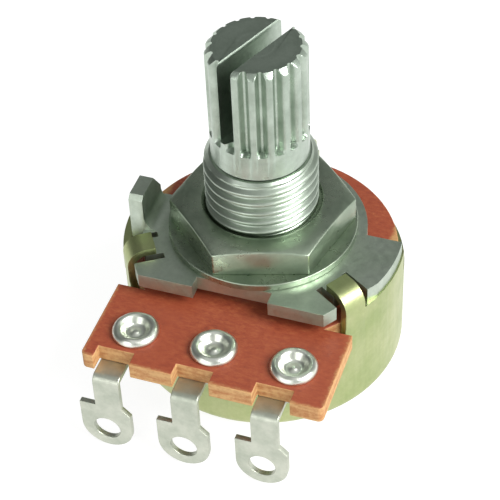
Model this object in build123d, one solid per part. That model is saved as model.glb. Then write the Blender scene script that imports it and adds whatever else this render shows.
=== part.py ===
from build123d import *
import math
import os

# Panel potentiometer with a split, knurled shaft.
# Sizes are in millimetres. The Z axis is the shaft's axis, z = 0 is the
# mounting plate's top face and -Y points towards the terminals.

# Shaft and its knob end
SHAFT_RADIUS = 3.0
SHAFT_TOP = 14.0
SHAFT_TIP_CHAMFER = 0.35
KNURL_START = 8.0
KNURL_TEETH = 18
KNURL_DEPTH = 0.45
KNURL_GAP_HALF_WIDTH = 0.41
KNURL_SHIFT_ANGLE = -5.0
SLOT_WIDTH = 1.0
SLOT_FLOOR = 8.5
POINTER_ANGLE = 68.0
JOURNAL_STEP = 0.5
RING_WIDTH = 1.4
RING_THICKNESS = 0.6
RING_GAP_HALF_ANGLE = 22.0
TANG_STEP = 0.1
TANG_FLAT_SHARE = 0.8
STAKE_OVERHANG = 0.5
STAKE_THICKNESS = 0.4

# Threaded bushing
THREAD_WALL = 0.95
THREAD_HALF_DEPTH = 0.24
THREAD_TOP = 6.2
THREAD_CHAMFER = 0.35
BARREL_SHOULDER = 0.4
BUSHING_FLANGE_WIDTH = 0.8
SHAFT_BORE_CLEARANCE = 0.05
SHAFT_END_PLAY = 0.05

# Washer and nut
WASHER_RADIUS = 5.9
WASHER_THICKNESS = 0.5
WASHER_BORE_CLEARANCE = 0.1
NUT_ACROSS_FLATS = 10.0
NUT_THICKNESS = 1.87
NUT_CORNER_ANGLE = 17.0
NUT_CORNER_CHAMFER = 0.3
NUT_BORE_CHAMFER = 0.25

# Mounting plate and its locating lug
PLATE_THICKNESS = 1.0
PLATE_BACK_RADIUS = 6.5
PLATE_FRONT = 6.45
PLATE_FRONT_HALF_WIDTH = 5.9
FRONT_NOTCH_HALF_WIDTH = 2.4
FRONT_NOTCH_DEPTH = 0.85
LOBE_INSET = 0.1
LOBE_FRONT = 3.0
LOBE_BACK = 0.9
REAR_LOBE_WIDTH = 1.7
TAB_NOTCH_WIDTH = 2.4
TAB_NOTCH_CLEARANCE = 0.7
TAB_SLIT_LENGTH = 1.1
LUG_INSET = 1.0
LUG_THICKNESS = 0.9
LUG_FRONT = 2.6
LUG_BACK = 0.4
LUG_TOP = 2.6
LUG_BEND_RADIUS = 1.0
LUG_TIP_CHAMFER = 0.3
LUG_BACK_CUT_LENGTH = 1.0
LUG_BACK_CUT_HEIGHT = 1.4

# Terminal board
BOARD_GAP = 0.73
BOARD_THICKNESS = 1.15
BOARD_HOLE_CLEARANCE = 0.3
TONGUE_SIDE_MARGIN = 2.55
TONGUE_FRONT_MARGIN = 2.6
TONGUE_TO_SEAT = 0.5
TONGUE_CORNER_RADIUS = 0.35
EDGE_NOTCH_WIDTH = 2.3
EDGE_NOTCH_DEPTH = 0.9
EDGE_NOTCH_SHIFT = -0.6

# Rear case
CASE_RADIUS = 8.85
CASE_WALL = 0.5
CASE_BOTTOM = -9.2
CASE_EDGE_RADIUS = 0.8
BOARD_TO_CASE = 0.05
FOLD_WIDTH = 1.5
FOLD_LENGTH = 1.85
FOLD_BEND_RADIUS = 0.7
FRONT_FOLD_ANGLE = 33.0
REAR_FOLD_ANGLE = 90.0
WINDOW_START = 8.0
WINDOW_END = 84.0
EAR_SIDE_GAP = 1.5
EAR_SEAT_WIDTH = 0.1
FRONT_SEAT_START = 38.0
FRONT_CUT_START = 50.0
FRONT_CUT_DROP = 0.95
STOP_TO_WALL = 1.15
STOP_LENGTH = 2.2
STOP_HEIGHT = 0.8
STOP_HALF_ANGLE = 12.0

# Terminals and eyelets
TERMINAL_PITCH = 5.0
EYELET_TO_CASE = 0.6
TERMINAL_THICKNESS = 0.4
TERMINAL_PAD_RADIUS = 1.45
STRIP_WIDTH = 1.7
STRIP_SHIFT = -0.85
TERMINAL_REACH = 0.65
TERMINAL_BEND_RADIUS = 0.2
TAG_WIDTH = 3.3
TAG_SHIFT = -1.1
TAG_DROP = 2.12
TAG_LENGTH = 3.55
TAG_HOLE_RADIUS = 0.85
TAG_HOLE_TO_TIP = 1.55
EYELET_BARREL_RADIUS = 0.75
EYELET_HEAD_RADIUS = 1.45
EYELET_HEAD_HEIGHT = 0.42
EYELET_CLINCH_RADIUS = 1.15
EYELET_CLINCH_HEIGHT = 0.28
EYELET_DISH_RADIUS = 0.75
EYELET_DISH_DEPTH = 0.3

# Track, collector and wiper
TRACK_THICKNESS = 0.06
COLLECTOR_MARGIN = 0.15
COLLECTOR_WIDTH = 0.95
TRACK_SPACING = 0.4
TRACK_WIDTH = 1.6
TRACK_HALF_SWEEP = 152.0
LEAD_WIDTH = 0.9
WIPER_RUNNING_GAP = 0.02
WIPER_THICKNESS = 0.18
WIPER_LEAF_WIDTH = 1.2
WIPER_ARM_WIDTH = 1.0
CARRIER_TO_WALL = 0.65
CARRIER_TO_BOARD = 1.07
CARRIER_THICKNESS = 1.25
STOP_LUG_WIDTH = 3.1
STOP_LUG_INSET = 0.1
STOP_LUG_FLOOR_GAP = 0.3

# Levels and sizes that follow from the ones above
PLATE_UNDERSIDE = -PLATE_THICKNESS
BOARD_TOP = PLATE_UNDERSIDE - BOARD_GAP
BOARD_UNDERSIDE = BOARD_TOP - BOARD_THICKNESS
JOURNAL_RADIUS = SHAFT_RADIUS - JOURNAL_STEP
SHAFT_BORE_RADIUS = JOURNAL_RADIUS + SHAFT_BORE_CLEARANCE
SHAFT_SHOULDER = THREAD_TOP + SHAFT_END_PLAY
RING_RADIUS = JOURNAL_RADIUS + RING_WIDTH
RING_TOP = BOARD_TOP - SHAFT_END_PLAY
TANG_RADIUS = JOURNAL_RADIUS - TANG_STEP
STAKE_RADIUS = JOURNAL_RADIUS + STAKE_OVERHANG
THREAD_RADIUS = SHAFT_BORE_RADIUS + THREAD_WALL
THREAD_PITCH_RADIUS = THREAD_RADIUS - THREAD_HALF_DEPTH
BUSHING_BARREL_RADIUS = THREAD_RADIUS + BARREL_SHOULDER
BUSHING_FLANGE_RADIUS = BUSHING_BARREL_RADIUS + BUSHING_FLANGE_WIDTH
NUT_TOP = WASHER_THICKNESS + NUT_THICKNESS
CASE_INNER_RADIUS = CASE_RADIUS - CASE_WALL
CASE_FLOOR = CASE_BOTTOM + CASE_WALL
LOBE_RADIUS = CASE_RADIUS - LOBE_INSET
LUG_OUTER_FACE = CASE_RADIUS - LUG_INSET
TAB_NOTCH_FLOOR = CASE_INNER_RADIUS - TAB_NOTCH_CLEARANCE
TAB_SLIT_FLOOR = TAB_NOTCH_FLOOR - TAB_SLIT_LENGTH
FOLD_INNER_END = CASE_RADIUS - FOLD_LENGTH
STOP_OUTER_RADIUS = CASE_INNER_RADIUS - STOP_TO_WALL
STOP_INNER_RADIUS = STOP_OUTER_RADIUS - STOP_LENGTH
BOARD_RADIUS = CASE_INNER_RADIUS - BOARD_TO_CASE
EAR_RADIUS = CASE_INNER_RADIUS + EAR_SEAT_WIDTH
BOARD_HOLE_RADIUS = RING_RADIUS + BOARD_HOLE_CLEARANCE
TERMINAL_ROW = CASE_RADIUS + EYELET_TO_CASE
TONGUE_HALF_WIDTH = TERMINAL_PITCH + TONGUE_SIDE_MARGIN
TONGUE_FRONT = TERMINAL_ROW + TONGUE_FRONT_MARGIN
TONGUE_BACK = CASE_RADIUS * math.sin(math.radians(FRONT_SEAT_START)) + TONGUE_TO_SEAT
STRIP_UNDERSIDE = BOARD_UNDERSIDE - TERMINAL_THICKNESS
TERMINAL_FRONT = TONGUE_FRONT + TERMINAL_REACH
TAG_SHOULDER = STRIP_UNDERSIDE - TAG_DROP
TAG_BOTTOM = TAG_SHOULDER - TAG_LENGTH
TAG_HOLE_HEIGHT = TAG_BOTTOM + TAG_HOLE_TO_TIP
COLLECTOR_INNER_RADIUS = BOARD_HOLE_RADIUS + COLLECTOR_MARGIN
COLLECTOR_OUTER_RADIUS = COLLECTOR_INNER_RADIUS + COLLECTOR_WIDTH
TRACK_INNER_RADIUS = COLLECTOR_OUTER_RADIUS + TRACK_SPACING
TRACK_OUTER_RADIUS = TRACK_INNER_RADIUS + TRACK_WIDTH
TRACK_UNDERSIDE = BOARD_UNDERSIDE - TRACK_THICKNESS
TRACK_RADIUS = (TRACK_INNER_RADIUS + TRACK_OUTER_RADIUS) / 2
COLLECTOR_RADIUS = (COLLECTOR_INNER_RADIUS + COLLECTOR_OUTER_RADIUS) / 2
CARRIER_RADIUS = CASE_INNER_RADIUS - CARRIER_TO_WALL
CARRIER_TOP = BOARD_UNDERSIDE - CARRIER_TO_BOARD
CARRIER_UNDERSIDE = CARRIER_TOP - CARRIER_THICKNESS
WIPER_LEAF_RADIUS = JOURNAL_RADIUS + WIPER_LEAF_WIDTH


def cylinder(radius, low, high):
    """A round solid on the shaft's axis between two heights."""
    return Pos(0, 0, low) * extrude(Circle(radius), high - low)


def block(x_low, x_high, y_low, y_high, low, high):
    """A rectangular solid given by its limits along each axis."""
    centre = Pos((x_low + x_high) / 2, (y_low + y_high) / 2, low)
    return centre * extrude(Rectangle(x_high - x_low, y_high - y_low), high - low)


def sector(inner, outer, start, end, low, high):
    """A ring-shaped slab from one angle to another, in degrees."""
    sweep = end - start
    first = (math.cos(math.radians(start)), math.sin(math.radians(start)))
    last = (math.cos(math.radians(end)), math.sin(math.radians(end)))
    edges = [
        CenterArc((0, 0), outer, start, sweep),
        CenterArc((0, 0), inner, start, sweep),
        Line((inner * first[0], inner * first[1]), (outer * first[0], outer * first[1])),
        Line((inner * last[0], inner * last[1]), (outer * last[0], outer * last[1])),
    ]
    return Pos(0, 0, low) * extrude(make_face(Wire(edges)), high - low)


def slab(points, low, high):
    """A flat solid with the given corner points."""
    return Pos(0, 0, low) * extrude(make_face(Polyline(points, close=True)), high - low)


def turned(points):
    """A solid turned about the shaft's axis from (radius, height) points."""
    corners = [(radius, 0, height) for radius, height in points]
    return revolve(make_face(Polyline(corners, close=True)), Axis.Z)


def radial_block(angle, inner, outer, width, low, high):
    """A rectangular solid that points outwards at an angle in degrees."""
    return Rot(0, 0, angle) * block(inner, outer, -width / 2, width / 2, low, high)


# Rear case: one drawn steel cup whose wall carries three tabs, folded inwards
# over the plate to hold the stack together.
def make_fold(angle):
    half = FOLD_WIDTH / 2
    foot = PLATE_UNDERSIDE - 1
    outside = rounded_block(FOLD_INNER_END, CASE_RADIUS, half, foot, CASE_WALL, FOLD_BEND_RADIUS + CASE_WALL)
    inside = rounded_block(FOLD_INNER_END - 1, CASE_INNER_RADIUS, half + 1, foot - 1, 0, FOLD_BEND_RADIUS)
    return Rot(0, 0, angle) * (outside - inside)


def rounded_block(x_low, x_high, half_width, low, high, radius):
    """A block whose upper outer edge is rounded."""
    solid = block(x_low, x_high, -half_width, half_width, low, high)
    edge = solid.edges().filter_by(Axis.Y).group_by(Axis.Z)[-1].sort_by(Axis.X)[-1]
    return fillet(edge, radius)


def make_rear_case():
    cup = cylinder(CASE_RADIUS, CASE_BOTTOM, PLATE_UNDERSIDE)
    cup = fillet(cup.edges().group_by(Axis.Z)[0], CASE_EDGE_RADIUS)
    hollow = cylinder(CASE_INNER_RADIUS, CASE_FLOOR, PLATE_UNDERSIDE + 1)
    hollow = fillet(hollow.edges().group_by(Axis.Z)[0], CASE_EDGE_RADIUS - CASE_WALL)
    cup -= hollow
    beyond = CASE_RADIUS + 1
    inside = CASE_INNER_RADIUS - 1
    cup -= [
        sector(inside, beyond, WINDOW_START, WINDOW_END, BOARD_UNDERSIDE, 0),
        sector(inside, beyond, 180 - WINDOW_END, 180 - WINDOW_START, BOARD_UNDERSIDE, 0),
        sector(inside, beyond, FRONT_SEAT_START - 180, -FRONT_SEAT_START, BOARD_UNDERSIDE, 0),
        sector(inside, beyond, FRONT_CUT_START - 180, -FRONT_CUT_START, BOARD_UNDERSIDE - FRONT_CUT_DROP, 0),
    ]
    for angle in (-FRONT_FOLD_ANGLE, FRONT_FOLD_ANGLE - 180, REAR_FOLD_ANGLE):
        cup += make_fold(angle)
    # The stop is pressed inwards, so the outside has a matching hollow.
    stop_from = -90 - STOP_HALF_ANGLE
    stop_to = -90 + STOP_HALF_ANGLE
    cup += sector(STOP_INNER_RADIUS, STOP_OUTER_RADIUS, stop_from, stop_to, CASE_FLOOR, CASE_FLOOR + STOP_HEIGHT)
    dent_margin = CASE_WALL * 0.8
    cup -= sector(
        STOP_INNER_RADIUS + dent_margin,
        STOP_OUTER_RADIUS - dent_margin,
        stop_from + 4,
        stop_to - 4,
        CASE_BOTTOM,
        CASE_BOTTOM + STOP_HEIGHT,
    )
    return cup


# Mounting plate: one stamped sheet with a lug bent up at its left end.
def make_mounting_plate():
    low = PLATE_UNDERSIDE
    plate = cylinder(PLATE_BACK_RADIUS, low, 0)
    plate += block(-PLATE_FRONT_HALF_WIDTH, PLATE_FRONT_HALF_WIDTH, -PLATE_FRONT, 0, low, 0)
    lobe_corner = math.sqrt(LOBE_RADIUS ** 2 - LOBE_FRONT ** 2)
    for side in (-1, 1):
        plate += slab(
            [(0, 0), (side * PLATE_FRONT_HALF_WIDTH, -PLATE_FRONT), (side * lobe_corner, -LOBE_FRONT)], low, 0
        )
    plate += block(0, LOBE_RADIUS, -LOBE_FRONT, LOBE_BACK, low, 0) & cylinder(LOBE_RADIUS, low, 0)
    plate += radial_block(REAR_FOLD_ANGLE, 0, TAB_NOTCH_FLOOR, REAR_LOBE_WIDTH, low, 0)
    plate += block(-LUG_OUTER_FACE, 0, -LOBE_FRONT, LOBE_BACK, low, 0)
    plate -= block(-LUG_OUTER_FACE - 1, -LUG_OUTER_FACE + LUG_THICKNESS, -PLATE_FRONT, -LUG_FRONT, low, 0)
    plate -= block(-LUG_OUTER_FACE - 1, -LUG_OUTER_FACE + LUG_THICKNESS, LUG_BACK, LOBE_BACK, low, 0)
    for angle in (-FRONT_FOLD_ANGLE, FRONT_FOLD_ANGLE - 180):
        plate -= radial_block(angle, TAB_SLIT_FLOOR, CASE_RADIUS + 2, TAB_NOTCH_WIDTH, low, 0)
        plate += radial_block(angle, TAB_SLIT_FLOOR - PLATE_THICKNESS, TAB_NOTCH_FLOOR, FOLD_WIDTH, low, 0)
    plate -= block(
        -FRONT_NOTCH_HALF_WIDTH,
        FRONT_NOTCH_HALF_WIDTH,
        -PLATE_FRONT - 1,
        -PLATE_FRONT + FRONT_NOTCH_DEPTH,
        low,
        0,
    )
    plate += make_locating_lug()
    plate -= cylinder(BUSHING_BARREL_RADIUS, low - 1, 1)
    return plate


def make_locating_lug():
    inner_face = -LUG_OUTER_FACE + LUG_THICKNESS
    lug = block(-LUG_OUTER_FACE, inner_face + LUG_BEND_RADIUS, -LUG_FRONT, LUG_BACK, PLATE_UNDERSIDE, LUG_TOP)
    lug -= block(inner_face, inner_face + 2, -LUG_FRONT, LUG_BACK, LUG_BEND_RADIUS, LUG_TOP + 1)
    heel = lug.edges().filter_by(Axis.Y).group_by(Axis.Z)[0].sort_by(Axis.X)[0]
    lug = fillet(heel, PLATE_THICKNESS * 0.9)
    front_tip = lug.edges().filter_by(Axis.X).group_by(Axis.Z)[-1].sort_by(Axis.Y)[0]
    lug = chamfer(front_tip, LUG_TIP_CHAMFER)
    back_tip = lug.edges().filter_by(Axis.X).group_by(Axis.Z)[-1].sort_by(Axis.Y)[-1]
    lug = chamfer(back_tip, LUG_BACK_CUT_LENGTH, LUG_BACK_CUT_HEIGHT)
    # The inside of the bend is a hollow quarter round.
    round_tool = Pos(inner_face + LUG_BEND_RADIUS, -LUG_FRONT, LUG_BEND_RADIUS)
    round_tool *= Rot(-90, 0, 0) * extrude(Circle(LUG_BEND_RADIUS), LUG_FRONT + LUG_BACK)
    return lug - round_tool


# Threaded bushing: turned in one piece with the flange that seats on the board.
# Its thread is a plain cylinder: pitch radius inside the nut, full radius above.
def make_threaded_bushing():
    return turned(
        [
            (SHAFT_BORE_RADIUS, BOARD_TOP),
            (BUSHING_FLANGE_RADIUS, BOARD_TOP),
            (BUSHING_FLANGE_RADIUS, PLATE_UNDERSIDE),
            (BUSHING_BARREL_RADIUS, PLATE_UNDERSIDE),
            (BUSHING_BARREL_RADIUS, 0),
            (THREAD_PITCH_RADIUS, 0),
            (THREAD_PITCH_RADIUS, NUT_TOP),
            (THREAD_RADIUS, NUT_TOP),
            (THREAD_RADIUS, THREAD_TOP - THREAD_CHAMFER),
            (THREAD_RADIUS - THREAD_CHAMFER, THREAD_TOP),
            (SHAFT_BORE_RADIUS, THREAD_TOP),
        ]
    )


def make_flat_washer():
    hole = cylinder(THREAD_RADIUS + WASHER_BORE_CLEARANCE, -1, WASHER_THICKNESS + 1)
    return cylinder(WASHER_RADIUS, 0, WASHER_THICKNESS) - hole


# Hexagon nut with its upper corners and its bore chamfered.
def make_hex_nut():
    corner_radius = NUT_ACROSS_FLATS / math.sqrt(3)
    corners = []
    for index in range(6):
        angle = math.radians(NUT_CORNER_ANGLE + 60 * index)
        corners.append((corner_radius * math.cos(angle), corner_radius * math.sin(angle)))
    nut = slab(corners, WASHER_THICKNESS, NUT_TOP)
    nut &= turned(
        [
            (0, WASHER_THICKNESS),
            (corner_radius, WASHER_THICKNESS),
            (corner_radius, NUT_TOP - NUT_CORNER_CHAMFER),
            (NUT_ACROSS_FLATS / 2 - 0.1, NUT_TOP),
            (0, NUT_TOP),
        ]
    )
    nut -= cylinder(THREAD_PITCH_RADIUS, 0, NUT_TOP + 1)
    nut -= turned(
        [
            (0, NUT_TOP - NUT_BORE_CHAMFER),
            (THREAD_RADIUS, NUT_TOP - NUT_BORE_CHAMFER),
            (THREAD_RADIUS + NUT_BORE_CHAMFER, NUT_TOP),
            (0, NUT_TOP),
        ]
    )
    return nut


# Terminal board: a round phenolic board with a tongue for the three terminals
# and two ears at the back that rest on the case's rim.
def make_terminal_board():
    low = BOARD_UNDERSIDE
    high = BOARD_TOP
    tongue = block(-TONGUE_HALF_WIDTH, TONGUE_HALF_WIDTH, -TONGUE_FRONT, -TONGUE_BACK, low, high)
    corner_edges = tongue.edges().filter_by(Axis.Z).group_by(Axis.Y)[0]
    tongue = fillet(corner_edges, TONGUE_CORNER_RADIUS)
    board = cylinder(BOARD_RADIUS, low, high) + tongue
    ear_from = WINDOW_START + EAR_SIDE_GAP
    ear_to = WINDOW_END - EAR_SIDE_GAP
    board += sector(BOARD_RADIUS - 1, EAR_RADIUS, ear_from, ear_to, low, high)
    board += sector(BOARD_RADIUS - 1, EAR_RADIUS, 180 - ear_to, 180 - ear_from, low, high)
    cuts = [cylinder(BOARD_HOLE_RADIUS, low - 1, high + 1)]
    for index in (-1, 0, 1):
        x = index * TERMINAL_PITCH
        notch_x = x + EDGE_NOTCH_SHIFT
        cuts.append(Pos(x, -TERMINAL_ROW, 0) * cylinder(EYELET_BARREL_RADIUS, low - 1, high + 1))
        cuts.append(
            block(
                notch_x - EDGE_NOTCH_WIDTH / 2,
                notch_x + EDGE_NOTCH_WIDTH / 2,
                -TONGUE_FRONT - 1,
                -TONGUE_FRONT + EDGE_NOTCH_DEPTH,
                low - 1,
                high + 1,
            )
        )
    return board - cuts


# Printed films on the board's underside.
def make_resistive_track():
    start = 90 - TRACK_HALF_SWEEP
    end = 90 + TRACK_HALF_SWEEP
    return sector(TRACK_INNER_RADIUS, TRACK_OUTER_RADIUS, start, end, TRACK_UNDERSIDE, BOARD_UNDERSIDE)


def make_collector_ring():
    ring = cylinder(COLLECTOR_OUTER_RADIUS, TRACK_UNDERSIDE, BOARD_UNDERSIDE)
    ring -= cylinder(COLLECTOR_INNER_RADIUS, TRACK_UNDERSIDE - 1, BOARD_UNDERSIDE + 1)
    lead_end = TERMINAL_ROW - TERMINAL_PAD_RADIUS
    ring += block(
        -LEAD_WIDTH / 2, LEAD_WIDTH / 2, -lead_end, -COLLECTOR_INNER_RADIUS - 0.3, TRACK_UNDERSIDE, BOARD_UNDERSIDE
    )
    return ring


def make_track_lead(side):
    end_angle = math.radians(90 - side * TRACK_HALF_SWEEP)
    track_x = TRACK_RADIUS * math.cos(end_angle)
    track_y = TRACK_OUTER_RADIUS * math.sin(end_angle)
    eyelet_x = side * TERMINAL_PITCH
    half = LEAD_WIDTH / 2
    points = [
        (track_x - half, track_y + LEAD_WIDTH),
        (track_x + half, track_y + LEAD_WIDTH),
        (eyelet_x + half, -TERMINAL_ROW + TERMINAL_PAD_RADIUS - 0.4),
        (eyelet_x - half, -TERMINAL_ROW + TERMINAL_PAD_RADIUS - 0.4),
    ]
    lead = slab(points, TRACK_UNDERSIDE, BOARD_UNDERSIDE)
    lead -= make_resistive_track()
    pad = Pos(eyelet_x, -TERMINAL_ROW, 0) * cylinder(TERMINAL_PAD_RADIUS, TRACK_UNDERSIDE - 1, BOARD_UNDERSIDE + 1)
    lead -= pad
    return lead.solids().sort_by(SortBy.VOLUME)[-1]


# Solder terminal: a pad under the board, a strip that bends down over the
# board's front edge, and a tag with a wire hole.
def make_terminal(x):
    low = STRIP_UNDERSIDE
    high = BOARD_UNDERSIDE
    left = STRIP_SHIFT - STRIP_WIDTH / 2
    right = STRIP_SHIFT + STRIP_WIDTH / 2
    pad = Pos(0, -TERMINAL_ROW, 0) * cylinder(TERMINAL_PAD_RADIUS, low, high)
    strip = block(left, right, -TERMINAL_FRONT, -TERMINAL_ROW, low, high)
    drop = block(left, right, -TERMINAL_FRONT, -TERMINAL_FRONT + TERMINAL_THICKNESS, TAG_SHOULDER - 0.5, high)
    arm = strip + drop
    bend = arm.edges().filter_by(Axis.X).group_by(Axis.Z)[-1].sort_by(Axis.Y)[0]
    arm = fillet(bend, TERMINAL_THICKNESS + TERMINAL_BEND_RADIUS - 0.05)
    terminal = pad + arm + make_tag()
    terminal -= Pos(0, -TERMINAL_ROW, 0) * cylinder(EYELET_BARREL_RADIUS, low - 1, high + 1)
    return Pos(x, 0, 0) * terminal


def make_tag():
    left = TAG_SHIFT - TAG_WIDTH / 2
    right = TAG_SHIFT + TAG_WIDTH / 2
    strip_right = STRIP_SHIFT + STRIP_WIDTH / 2
    tip_centre = TAG_BOTTOM + TAG_WIDTH / 2
    outline = [
        Line((left, tip_centre), (left, TAG_SHOULDER)),
        Line((left, TAG_SHOULDER), (strip_right, TAG_SHOULDER)),
        Line((strip_right, TAG_SHOULDER), (right, TAG_SHOULDER - (right - strip_right))),
        Line((right, TAG_SHOULDER - (right - strip_right)), (right, tip_centre)),
        CenterArc((TAG_SHIFT, tip_centre), TAG_WIDTH / 2, 180, 180),
    ]
    face = make_face(Wire(outline))
    face -= Pos(TAG_SHIFT, TAG_HOLE_HEIGHT) * Circle(TAG_HOLE_RADIUS)
    upright = Pos(0, -TERMINAL_FRONT + TERMINAL_THICKNESS, 0) * Rot(90, 0, 0)
    return upright * extrude(face, TERMINAL_THICKNESS)


# Eyelet: a headed tubular rivet with a dished head, clinched under the terminal.
def make_eyelet(x):
    clinch_bottom = STRIP_UNDERSIDE - EYELET_CLINCH_HEIGHT
    head_top = BOARD_TOP + EYELET_HEAD_HEIGHT
    body = turned(
        [
            (0, clinch_bottom),
            (EYELET_CLINCH_RADIUS - 0.2, clinch_bottom),
            (EYELET_CLINCH_RADIUS, STRIP_UNDERSIDE),
            (EYELET_BARREL_RADIUS, STRIP_UNDERSIDE),
            (EYELET_BARREL_RADIUS, BOARD_TOP),
            (EYELET_HEAD_RADIUS, BOARD_TOP),
            (EYELET_HEAD_RADIUS, BOARD_TOP + EYELET_HEAD_HEIGHT * 0.45),
            (EYELET_HEAD_RADIUS - 0.2, head_top),
            (EYELET_DISH_RADIUS + 0.15, head_top),
            (EYELET_DISH_RADIUS, head_top - EYELET_DISH_DEPTH),
            (0, head_top - EYELET_DISH_DEPTH),
        ]
    )
    return Pos(x, -TERMINAL_ROW, 0) * body


# Shaft: turned in one piece, with a journal that runs in the bushing, a flatted
# tang staked into the carrier, and a slotted, toothed end for the knob.
def make_shaft():
    body = turned(
        [
            (0, CARRIER_TOP),
            (JOURNAL_RADIUS, CARRIER_TOP),
            (JOURNAL_RADIUS, SHAFT_SHOULDER),
            (SHAFT_RADIUS, SHAFT_SHOULDER),
            (SHAFT_RADIUS, SHAFT_TOP - SHAFT_TIP_CHAMFER),
            (SHAFT_RADIUS - SHAFT_TIP_CHAMFER, SHAFT_TOP),
            (0, SHAFT_TOP),
        ]
    )
    body += make_tang(CARRIER_UNDERSIDE, CARRIER_TOP)
    body += cylinder(STAKE_RADIUS, CARRIER_UNDERSIDE - STAKE_THICKNESS, CARRIER_UNDERSIDE)
    body -= make_knurl_gaps()
    slot = block(-SHAFT_RADIUS - 1, SHAFT_RADIUS + 1, -SLOT_WIDTH / 2, SLOT_WIDTH / 2, SLOT_FLOOR, SHAFT_TOP + 1)
    return body - Rot(0, 0, POINTER_ANGLE) * slot


def make_tang(low, high):
    tang = cylinder(TANG_RADIUS, low, high)
    flat = TANG_RADIUS * TANG_FLAT_SHARE
    keep = block(-flat, flat, -TANG_RADIUS, TANG_RADIUS, low, high)
    return Rot(0, 0, POINTER_ANGLE) * (tang & keep)


# Retaining ring: an open ring round the journal, under the bushing.
def make_retaining_ring():
    start = POINTER_ANGLE + RING_GAP_HALF_ANGLE
    end = POINTER_ANGLE + 360 - RING_GAP_HALF_ANGLE
    return sector(JOURNAL_RADIUS, RING_RADIUS, start, end, RING_TOP - RING_THICKNESS, RING_TOP)


def make_knurl_gaps():
    root = SHAFT_RADIUS - KNURL_DEPTH
    rim = SHAFT_RADIUS + 0.3
    half = KNURL_GAP_HALF_WIDTH * (rim - root) / KNURL_DEPTH
    gap = slab([(root, 0), (rim, -half), (rim, half)], KNURL_START, SHAFT_TOP + 1)
    pitch = 360 / KNURL_TEETH
    first = POINTER_ANGLE + KNURL_SHIFT_ANGLE + pitch / 2
    return [Rot(0, 0, first + pitch * index) * gap for index in range(KNURL_TEETH)]


# Wiper carrier: a moulded disc with a lug that meets the case's stop.
def make_wiper_carrier():
    disc = cylinder(CARRIER_RADIUS, CARRIER_UNDERSIDE, CARRIER_TOP)
    lug_bottom = CASE_FLOOR + STOP_LUG_FLOOR_GAP
    lug = radial_block(
        POINTER_ANGLE,
        STOP_INNER_RADIUS + STOP_LUG_INSET,
        STOP_OUTER_RADIUS - STOP_LUG_INSET,
        STOP_LUG_WIDTH,
        lug_bottom,
        CARRIER_UNDERSIDE,
    )
    return disc + lug - make_tang(CARRIER_UNDERSIDE, CARRIER_TOP)


# Wiper spring: one leaf with an arm for the track and an opposite arm for
# the collector ring.
def make_wiper_spring():
    contact = TRACK_UNDERSIDE - WIPER_RUNNING_GAP
    leaf = cylinder(WIPER_LEAF_RADIUS, CARRIER_TOP, CARRIER_TOP + WIPER_THICKNESS)
    leaf += make_wiper_arm(TRACK_RADIUS, contact)
    leaf += Rot(0, 0, 180) * make_wiper_arm(COLLECTOR_RADIUS, contact)
    leaf = Rot(0, 0, POINTER_ANGLE) * leaf
    return leaf - cylinder(JOURNAL_RADIUS, CARRIER_TOP - 1, CARRIER_TOP + 1)


def make_wiper_arm(reach, contact):
    root = WIPER_LEAF_RADIUS - 0.8
    top = CARRIER_TOP + WIPER_THICKNESS
    side_points = [
        (root, CARRIER_TOP),
        (WIPER_LEAF_RADIUS, CARRIER_TOP),
        (reach + 0.35, contact - WIPER_THICKNESS - 0.1),
        (reach + 0.35, contact - 0.1),
        (reach + 0.15, contact),
        (reach - 0.15, contact),
        (reach - 0.35, contact - 0.1),
        (WIPER_LEAF_RADIUS - 0.1, top),
        (root, top),
    ]
    side = make_face(Polyline([(x, 0, z) for x, z in side_points], close=True))
    return Pos(0, WIPER_ARM_WIDTH / 2, 0) * extrude(side, WIPER_ARM_WIDTH, dir=(0, -1, 0))


def main():
    nodes = {
        "rear_case": make_rear_case(),
        "mounting_plate": make_mounting_plate(),
        "threaded_bushing": make_threaded_bushing(),
        "flat_washer": make_flat_washer(),
        "hex_nut": make_hex_nut(),
        "terminal_board": make_terminal_board(),
        "resistive_track": make_resistive_track(),
        "collector_ring": make_collector_ring(),
        "track_lead_left": make_track_lead(-1),
        "track_lead_right": make_track_lead(1),
        "shaft": make_shaft(),
        "retaining_ring": make_retaining_ring(),
        "wiper_carrier": make_wiper_carrier(),
        "wiper_spring": make_wiper_spring(),
    }
    for index, name in ((-1, "left"), (0, "centre"), (1, "right")):
        nodes["terminal_" + name] = make_terminal(index * TERMINAL_PITCH)
        nodes["eyelet_" + name] = make_eyelet(index * TERMINAL_PITCH)
    os.makedirs("parts", exist_ok=True)
    for name, shape in nodes.items():
        print(name, round(shape.volume, 3))
        export_step(shape, "parts/" + name + ".step")


main()
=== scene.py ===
"""Looks of a panel potentiometer with a split, knurled shaft.

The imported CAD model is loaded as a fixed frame. Turned and rolled pieces are
worked out again as fine surfaces, pressed pieces are copies of their CAD node
with eased edges, and every piece gets the finish of its real metal or laminate.
Lengths inside the classes are in millimetres; meshes are written in metres.
"""

import logging
import math
from dataclasses import dataclass
from enum import Enum

import bmesh
import bpy
import numpy as np
from mathutils import Matrix, Vector


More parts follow.
